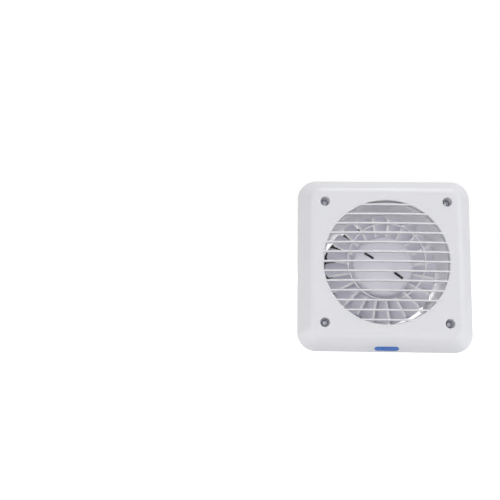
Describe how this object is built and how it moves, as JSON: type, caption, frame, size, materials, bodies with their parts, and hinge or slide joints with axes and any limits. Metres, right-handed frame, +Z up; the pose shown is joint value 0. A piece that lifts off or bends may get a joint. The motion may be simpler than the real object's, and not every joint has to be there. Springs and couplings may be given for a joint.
{
  "type": "bathroom extractor fan",
  "caption": "Square louvred wall extractor fan with a round duct spigot, axial impeller and shaded-pole motor that spins on its shaft.",
  "frame": {"origin": "on the duct axis, in the plane of the wall that the housing's back face sits against", "axes": "+X right and +Z up as seen from the room, +Y from the room into the duct"},
  "size_m": [0.206, 0.154, 0.206],
  "materials": {
    "cover_plastic": "white moulded plastic, semi-gloss",
    "housing_plastic": "white moulded plastic, satin",
    "impeller_plastic": "pale grey-white moulded plastic, semi-gloss",
    "badge_blue": "blue printed strip under clear gloss",
    "screw_steel": "bright zinc-plated steel",
    "bridge_metal": "die-cast zinc, matt",
    "bearing_bronze": "oiled sintered bronze",
    "spring_steel": "spring steel",
    "lamination_steel": "stacked varnished laminations",
    "copper": "bare copper",
    "enamelled_wire": "enamelled copper wire under clear tape",
    "bobbin_nylon": "natural nylon",
    "terminal_nylon": "white nylon",
    "brass": "turned brass",
    "grommet_rubber": "black rubber",
    "live_insulation": "brown wire insulation",
    "neutral_insulation": "blue wire insulation",
    "shaft_steel": "ground steel",
    "rotor_aluminium": "cast aluminium"
  },
  "bodies": {
    "fan_body": {"back_plate": "housing_plastic", "air_tunnel": "housing_plastic", "front_cover": "cover_plastic", "cover_screws": "screw_steel", "badge": "badge_blue", "motor_bracket": "housing_plastic", "bracket_screws": "screw_steel", "front_bearing_bridge": "bridge_metal", "rear_bearing_bridge": "bridge_metal", "front_bearing": "bearing_bronze", "rear_bearing": "bearing_bronze", "bearing_retainers": "spring_steel", "stator_core": "lamination_steel", "core_bar": "lamination_steel", "shading_rings": "copper", "coil_bobbin": "bobbin_nylon", "coil_winding": "enamelled_wire", "thermal_fuse": "terminal_nylon", "motor_screws": "screw_steel", "motor_nuts": "screw_steel", "terminal_block": "terminal_nylon", "terminal_inserts": "brass", "terminal_screws": "screw_steel", "terminal_fixing_screw": "screw_steel", "cable_grommet": "grommet_rubber", "cable_clamp": "terminal_nylon", "cable_clamp_screws": "screw_steel", "live_lead": "live_insulation", "neutral_lead": "neutral_insulation"},
    "rotor": {"impeller_hub": "impeller_plastic", "impeller_blades": "impeller_plastic", "impeller_clip": "spring_steel", "motor_shaft": "shaft_steel", "rotor_core": "lamination_steel", "rotor_cage": "rotor_aluminium", "thrust_spacers": "bobbin_nylon"}
  },
  "joints": [
    {"name": "impeller_spin", "type": "hinge", "parent": "fan_body", "child": "rotor", "pos_m": [0, 0, 0], "axis": [0, -1, 0], "continuous": true}
  ]
}
